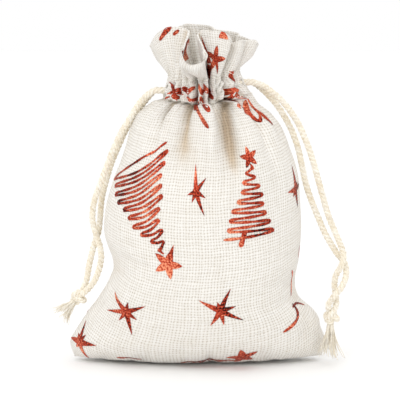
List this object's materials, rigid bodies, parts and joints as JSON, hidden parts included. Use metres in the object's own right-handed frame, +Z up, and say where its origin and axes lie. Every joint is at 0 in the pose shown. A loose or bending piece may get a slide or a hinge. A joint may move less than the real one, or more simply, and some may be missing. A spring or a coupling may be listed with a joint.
{
  "type": "fabric gift sack",
  "caption": "Stuffed drawstring gift sack of woven cotton with a ruffled neck, cord loops at each side with knotted frayed ends, and foil prints.",
  "frame": {"origin": "middle of the base, on the surface that the sack stands on", "axes": "+Z up to the ruffle, +X to the right seen from the front, the front faces -Y"},
  "size_m": [0.1116, 0.048, 0.128],
  "materials": {
    "cotton_cloth": "matte coarse plain weave, unbleached white, with red metallic foil prints",
    "cotton_cord": "matte natural cream, twisted from three plies",
    "sewing_thread": "matte off-white thread"
  },
  "bodies": {
    "sack": {"front_panel": "cotton_cloth", "back_panel": "cotton_cloth", "front_hem": "cotton_cloth", "back_hem": "cotton_cloth", "left_side_seam": "sewing_thread", "right_side_seam": "sewing_thread", "bottom_seam": "sewing_thread", "casing_stitch_lower": "sewing_thread", "casing_stitch_upper": "sewing_thread", "left_drawstring_run": "cotton_cord", "right_drawstring_run": "cotton_cord"},
    "left_tail": {"left_tail_front": "cotton_cord", "left_tail_back": "cotton_cord"},
    "left_loop": {"left_strand_front": "cotton_cord", "left_strand_back": "cotton_cord", "left_knot": "cotton_cord", "left_tassel": "cotton_cord"},
    "right_tail": {"right_tail_front": "cotton_cord", "right_tail_back": "cotton_cord"},
    "right_loop": {"right_strand_front": "cotton_cord", "right_strand_back": "cotton_cord", "right_knot": "cotton_cord", "right_tassel": "cotton_cord"}
  },
  "joints": [
    {"name": "left_draw", "type": "slide", "parent": "sack", "child": "left_tail", "axis": [-1, 0, 0], "range_m": [0, 0.006]},
    {"name": "right_draw", "type": "slide", "parent": "sack", "child": "right_tail", "axis": [1, 0, 0], "range_m": [0, 0.006]},
    {"name": "left_swing", "type": "hinge", "parent": "left_tail", "child": "left_loop", "pos_m": [-0.0141, 0, 0.10435], "axis": [0, 1, 0], "range_deg": [0, 70]},
    {"name": "right_swing", "type": "hinge", "parent": "right_tail", "child": "right_loop", "pos_m": [0.0196, 0, 0.10735], "axis": [0, -1, 0], "range_deg": [0, 70]}
  ]
}
